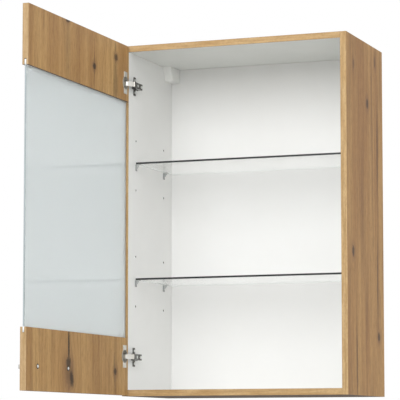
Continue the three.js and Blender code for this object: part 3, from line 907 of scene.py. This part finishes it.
@dataclass
class Carcass:
    """The fixed boards: two sides, top, bottom and the thin back panel."""

    arris: float = 0.5 * MM
    back_arris: float = 0.2 * MM

    def build(self) -> None:
        """Builds each board from its CAD node and faces it."""
        # Bores and grooves get near-black chipboard: painted shade.
        oak = ("carcass", "oak_board", LOOKS.hole)
        for name, outer, inner, decor in (
            ("left", Side.LEFT, Side.RIGHT, LOOKS.left_side),
            ("right", Side.RIGHT, Side.LEFT, LOOKS.right_side),
        ):
            node = f"side_panel_{name}"
            faces = {
                outer: decor, inner: LOOKS.white_inside, Side.FRONT: LOOKS.upright_band,
                Side.TOP: LOOKS.end_band, Side.UNDER: LOOKS.under_band, Side.REAR: LOOKS.raw_board,
            }
            replace_node(node, f"{name}_side_board", self.arris, *oak, faces, LOOKS.joint_and_edge_shade)
        # The top board's underside is greyer: painted shade.
        for name, above, below in (
            ("top", LOOKS.level_panel, LOOKS.white_painted_shade_overhead),
            ("bottom", LOOKS.white_inside, LOOKS.underside),
        ):
            faces = {
                Side.TOP: above, Side.UNDER: below, Side.FRONT: LOOKS.level_band,
                Side.REAR: LOOKS.raw_board, Side.LEFT: LOOKS.raw_board, Side.RIGHT: LOOKS.raw_board,
            }
            replace_node(f"{name}_panel", f"{name}_board", self.arris, *oak, faces, LOOKS.joint_and_edge_shade)
        replace_node(
            "back_panel", "back_sheet", self.back_arris, "carcass", "white_back", LOOKS.hardboard,
            {Side.FRONT: LOOKS.white_back},
        )
        for level in ("top", "bottom"):
            for side in SIDES:
                for row in ROWS:
                    dress(f"dowel_{level}_{side}_{row}", LOOKS.beech)


@dataclass
class Shelves:
    """The glass shelves and the clear supports they lie on."""

    arris: float = 0.35 * MM
    support_arris: float = 0.3 * MM

    def build(self) -> None:
        """Builds each pane with polished edges, and its four supports."""
        # The front edge is near-black: painted dark reflection.
        faces = {Side.TOP: LOOKS.clear_glass, Side.UNDER: LOOKS.clear_glass, Side.FRONT: LOOKS.front_edge}
        for level in LEVELS:
            replace_node(
                f"glass_shelf_{level}", f"{level}_shelf_pane", self.arris,
                f"{level}_shelf", "clear_glass", LOOKS.plain_edge, faces,
            )
            for side in SIDES:
                for row in ROWS:
                    replace_node(
                        f"shelf_support_{level}_{side}_{row}", f"{level}_{side}_{row}_support",
                        self.support_arris, "carcass", "clear_plastic", LOOKS.clear_plastic,
                    )


@dataclass
class Hangers:
    """The wall hangers in the upper rear corners: moulded caps over plastic bodies and steel hooks."""

    corner: float = 1.6 * MM

    def build(self) -> None:
        """Rounds each cap and dresses what it covers."""
        for side in SIDES:
            replace_node(
                f"hanger_cover_{side}", f"{side}_hanger_cap", self.corner,
                "carcass", "white_plastic", LOOKS.white_plastic, segments=4,
            )
            dress(f"hanger_body_{side}", LOOKS.white_plastic)
            dress(f"hanger_hook_{side}", LOOKS.zinc)


@dataclass
class Door:
    """The swinging door: an upper and a lower board with a satin pane in their grooves."""

    arris: float = 0.6 * MM
    pane_arris: float = 0.9 * MM
    gasket_wall: float = 0.24 * MM
    gasket_lip: float = 0.8 * MM
    gasket_power: float = 6.0

    def build(self) -> None:
        """Faces both boards with oak decor and edge bands, and grinds the pane's edges."""
        faces = {
            Side.RIGHT: LOOKS.door_inside, Side.LEFT: LOOKS.door_outside, Side.FRONT: LOOKS.door_band,
            Side.REAR: LOOKS.door_band, Side.TOP: LOOKS.end_band, Side.UNDER: LOOKS.under_band,
        }
        for place in ("top", "bottom"):
            replace_node(
                f"door_{place}_board", f"door_{place}_rail", self.arris,
                "door", "oak_door", LOOKS.hole, faces, LOOKS.joint_and_edge_shade,
            )
        replace_node(
            "door_glass", "door_satin_pane", self.pane_arris, "door", "satin_glass", LOOKS.satin_edge,
            {Side.LEFT: LOOKS.satin_glass, Side.RIGHT: LOOKS.satin_glass}, LOOKS.satin_arris,
        )
        pane_low, pane_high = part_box("door_glass")
        lower_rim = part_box("door_bottom_board")[1].z
        upper_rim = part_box("door_top_board")[0].z
        self.gasket("lower", pane_low.z + self.gasket_wall, lower_rim + self.gasket_lip)
        self.gasket("upper", upper_rim - self.gasket_lip, pane_high.z)

    def gasket(self, level: str, base: float, top: float) -> None:
        """Beds the pane in its groove: a thin strip along both faces, closed round the free end.

        The strip is a sheet over (path, height): the path runs along one face, round a half
        superellipse of power 6 past the pane's free end, and back along the other face.

        Args:
            level: Which board's groove.
            base: The strip's lowest height.
            top: Its highest.
        """
        low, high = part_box("door_glass")
        middle = (low.x + high.x) / 2
        half = (high.x - low.x) / 2 + self.gasket_wall / 2
        reach = low.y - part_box("door_bottom_board")[0].y - self.gasket_wall
        power = 2.0 / self.gasket_power
        angle = np.linspace(0.0, math.pi, 17)
        bend_x = middle + half * np.sign(np.cos(angle)) * np.abs(np.cos(angle)) ** power
        bend_y = low.y - reach * np.sin(angle) ** power
        run = np.linspace(high.y, low.y, 9)[:-1]
        path_x = np.concatenate([np.full_like(run, middle + half), bend_x, np.full_like(run, middle - half)])
        path_y = np.concatenate([run, bend_y, run[::-1]])
        height = np.linspace(base, top, 3)[:, None]
        strip = new_piece(f"pane_gasket_{level}", path_x, path_y, height, closed=False)
        wall = strip.modifiers.new("wall", "SOLIDIFY")
        wall.thickness = self.gasket_wall
        wall.offset = 0.0
        cover(strip, LOOKS.gasket)
        settle(strip, "door", "white_plastic")


@dataclass
class Handle:
    """The bow handle: wide feet that narrow into a flat bar, with soft edges all along."""

    bar: float = 6.0 * MM
    foot: float = 12.0 * MM
    outer_corner: float = 12.0 * MM
    inner_corner: float = 4.0 * MM
    roundness: float = 5.0
    # A dark ring round each bolt's head, as painted shade.
    shade_ring_width: float = 2.4 * MM
    shade_ring_height: float = 0.9 * MM
    shade_ring_play: float = 0.1 * MM
    columns: int = 32

    def edge(self, reach: float, half: float, corner: float) -> np.ndarray:
        """Runs one edge of the bow in plan: out along a foot, round a corner, and along to its middle.

        Args:
            reach: How far this edge stands off the door.
            half: Half of this edge's length.
            corner: Its corner radius.

        Returns:
            Points out from the door and along it, from one foot to the other.
        """
        turn = np.linspace(0.0, math.pi / 2, 12)
        foot = np.stack([np.linspace(0.0, reach - corner, 6), np.full(6, -half)], axis=1)
        bend = (reach - corner + corner * np.sin(turn), -half + corner - corner * np.cos(turn))
        grip = np.stack([np.full(9, reach), np.linspace(-half + corner, 0.0, 9)], axis=1)
        first = np.vstack([foot, np.stack(bend, axis=1)[1:], grip[1:]])
        return np.vstack([first, (first * (1.0, -1.0))[-2::-1]])

    def build(self) -> None:
        """Builds the bow between its outer and inner edge, and its screws.

        The surface is middle(t) + spread(t) * c(s) along the line between the edges and half its
        height * d(s) up, where c and d trace a rounded rectangle: the signed powers 2 / roundness of
        cosine and sine.
        """
        low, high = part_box("handle")
        half = (high.y - low.y) / 2
        reach = high.x - low.x
        outer = self.edge(reach, half, self.outer_corner)
        inner = self.edge(reach - self.bar, half - self.foot, self.inner_corner)
        middle, spread = (outer + inner) / 2, (outer - inner) / 2
        angle = np.linspace(0.0, 2 * math.pi, self.columns, endpoint=False)
        power = 2.0 / self.roundness
        wide = np.sign(np.cos(angle)) * np.abs(np.cos(angle)) ** power
        tall = np.sign(np.sin(angle)) * np.abs(np.sin(angle)) ** power
        plan = middle[:, None, :] + spread[:, None, :] * wide[None, :, None]
        centre_y, centre_z = (low.y + high.y) / 2, (low.z + high.z) / 2
        height = centre_z + (high.z - low.z) / 2 * np.broadcast_to(tall, plan.shape[:2])
        rows = np.stack([high.x - plan[..., 0], centre_y + plan[..., 1], height], axis=-1)
        caps = [np.repeat(rows[end].mean(axis=0)[None, :], self.columns, axis=0)[None] for end in (0, -1)]
        points = np.concatenate([caps[0], rows, caps[1]])
        bow = new_piece("bow_handle", *np.moveaxis(points, -1, 0), smooth_below=50.0)
        cover(bow, LOOKS.brushed)
        settle(bow, "door", "handle_metal", "handle")
        screw = Screw(head_height=2.0 * MM, shank_radius=1.7 * MM, pitch=0.7 * MM)
        for row in ROWS:
            node = f"handle_screw_{row}"
            # The handle bolts' zinc is near white: painted highlight.
            piece = screw.build(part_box(node), f"handle_bolt_{row}", LOOKS.zinc_painted_highlight)
            settle(piece, "door", "screw_steel", node)
            self.lay_shade_ring(row, screw.head_height)

    def lay_shade_ring(self, row: str, head_height: float) -> None:
        """Lays a dark domed ring round a screw's head: painted shade, standing for the shadow gap round the
        head.

        Its section is an ellipse carried round the screw: the radius is middle + half * cos(t), and it
        stands height * (1 + sin(t)) / 2 off the board.

        Args:
            row: Which screw, front or rear.
            head_height: How far the screw's head stands off the board.
        """
        low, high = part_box(f"handle_screw_{row}")
        half = self.shade_ring_width / 2
        section = np.linspace(0.0, 2 * math.pi, 17)[:, None]
        angle = np.linspace(0.0, 2 * math.pi, self.columns, endpoint=False)
        radius = (high.y - low.y) / 2 + self.shade_ring_play + half + half * np.cos(section)
        ring = new_piece(
            f"handle_shade_ring_{row}",
            high.x - head_height + self.shade_ring_height * (1 + np.sin(section)) / 2,
            (low.y + high.y) / 2 + radius * np.cos(angle),
            (low.z + high.z) / 2 + radius * np.sin(angle),
            smooth_below=60.0,
        )
        # Painted shade: the ring is dark to stand for the shadow gap round the bolt's head.
        cover(ring, LOOKS.painted_shadow_ring)
        settle(ring, "door", "screw_steel")


@dataclass
class Hinge:
    """One concealed hinge: cup and links on the door's side, arm and cross plate on the board's side."""

    level: str
    edge: float = 0.22 * MM
    inner_edge: float = 0.08 * MM
    arm_rise: float = 4.1 * MM
    fixing_screw: float = 0.865
    fixing_head: float = 4.4 * MM
    side_screw: float = 0.5
    side_head: float = 3.6 * MM
    adjuster_depth: float = 5.0 * MM

    def build(self) -> None:
        """Softens the pressed parts' edges, cuts real screw heads and adds the adjusting screws."""
        hinge = f"{self.level}_hinge"
        for part, body, width, finish in (
            ("cup", "door", self.edge, LOOKS.cup_nickel),
            ("outer_link", f"{self.level}_outer_link", self.edge, LOOKS.nickel),
            ("inner_link", f"{self.level}_inner_link", self.inner_edge, LOOKS.nickel),
            # The arm and plate are nickel painted dark: painted dark reflection.
            ("arm", "carcass", self.edge, LOOKS.arm_nickel_painted_dark),
            ("mounting_plate", "carcass", self.edge, LOOKS.arm_nickel_painted_dark),
        ):
            name = f"{self.level}_{part}_pressing"
            replace_node(f"{hinge}_{part}", name, width, body, "nickel_hinge", finish)
        for part in ("cup_pin", "arm_pin_outer", "arm_pin_inner"):
            dress(f"{hinge}_{part}", LOOKS.pin)
        cup_screw = Screw(head_height=1.8 * MM, shank_radius=1.6 * MM)
        plate_screw = Screw(head_height=2.0 * MM, shank_radius=1.8 * MM, pitch=1.7 * MM)
        for place in LEVELS:
            for part, screw, body in (("cup", cup_screw, "door"), ("plate", plate_screw, "carcass")):
                node = f"{hinge}_{part}_screw_{place}"
                piece = screw.build(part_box(node), f"{self.level}_{part}_screw_{place}", LOOKS.zinc)
                settle(piece, body, "screw_steel", node)
        self.adjuster("fixing", self.fixing_screw, self.fixing_head)
        self.adjuster("side", self.side_screw, self.side_head)

    def adjuster(self, name: str, share: float, head_radius: float) -> None:
        """Sets one of the arm's two adjusting screws on the flat of the arm.

        Args:
            name: What the screw does.
            share: How far along the arm it sits, from its front end.
            head_radius: Radius of its head.
        """
        low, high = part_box(f"{self.level}_hinge_arm")
        flat = high.x - self.arm_rise
        y = low.y + (high.y - low.y) * share
        z = (low.z + high.z) / 2
        corner = Vector((0.0, head_radius, head_radius))
        screw = Screw(head_height=1.3 * MM, shank_radius=2.0 * MM, pitch=1.0 * MM)
        box = (
            Vector((flat - self.adjuster_depth, y, z)) - corner,
            Vector((flat + screw.head_height, y, z)) + corner,
        )
        piece = screw.build(box, f"{self.level}_{name}_adjuster", LOOKS.zinc)
        settle(piece, "carcass", "screw_steel")


@dataclass
class Studio:
    """A pale floor, a soft light and the camera."""

    floor_drop: float = 1.1
    floor_half: float = 14.0
    softbox_place: tuple[float, float, float] = (0.2, -5.1, 2.4)
    softbox_aim: tuple[float, float, float] = (0.0, 0.0, 0.45)
    softbox_size: float = 2.6
    softbox_watts: float = 128.0
    camera_place: tuple[float, float, float] = (1.816, -5.308, -0.114)
    camera_pitch: float = 5.54
    camera_turn: float = 20.89
    lens: float = 191.34
    lift: float = 0.08

    def build(self) -> None:
        """Sets the floor, the sky, the light and the camera."""
        scene = bpy.context.scene
        scene.view_settings.view_transform = "Standard"
        self.floor()
        self.sky(scene)
        self.softbox()
        view = bpy.data.cameras.new("front_view")
        view.lens = self.lens
        view.sensor_width = 36.0
        view.shift_y = self.lift
        view.clip_end = 100.0
        camera = bpy.data.objects.new("front_view", view)
        camera.location = self.camera_place
        camera.rotation_euler = (math.radians(90.0 + self.camera_pitch), 0.0, math.radians(self.camera_turn))
        scene.collection.objects.link(camera)
        scene.camera = camera

    def floor(self) -> None:
        """Lays a wide pale floor well below the cabinet."""
        corners = np.array([[-1, -1], [1, -1], [1, 1], [-1, 1]]) * self.floor_half
        points = np.column_stack([corners, np.full(4, -self.floor_drop)])
        mesh = bpy.data.meshes.new("studio_floor")
        mesh.from_pydata(points.tolist(), [], [[0, 1, 2, 3]])
        # Painted screed: pale grey and matt, so that it mirrors nothing.
        mesh.materials.append(Laminate("pale_floor", "#c6c6c4", "#c1c1bf", roughness=0.8).material())
        ground = bpy.data.objects.new("studio_floor", mesh)
        bpy.context.scene.collection.objects.link(ground)

    def sky(self, scene: bpy.types.Scene) -> None:
        """Lights the scene evenly from all round.

        Args:
            scene: The scene that gets the sky.
        """
        world = bpy.data.worlds.new("studio_sky")
        world.use_nodes = True
        back = world.node_tree.nodes["Background"]
        back.inputs["Color"].default_value = (1.0, 1.0, 1.0, 1.0)
        back.inputs["Strength"].default_value = 1.0
        scene.world = world

    def softbox(self) -> None:
        """Hangs one square softbox and turns it to what it lights."""
        light = bpy.data.lights.new("front_softbox", "AREA")
        light.size = self.softbox_size
        light.energy = self.softbox_watts
        lamp = bpy.data.objects.new("front_softbox", light)
        lamp.location = self.softbox_place
        away = lamp.location - Vector(self.softbox_aim)
        lamp.rotation_euler = away.to_track_quat("Z", "Y").to_euler()
        bpy.context.scene.collection.objects.link(lamp)


def main() -> None:
    logging.basicConfig(level=logging.INFO, format="%(name)s: %(message)s")
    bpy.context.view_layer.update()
    Studio().build()
    Carcass().build()
    Shelves().build()
    Hangers().build()
    Door().build()
    Handle().build()
    for level in LEVELS:
        Hinge(level).build()
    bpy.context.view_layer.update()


if __name__ == "__main__":
    main()
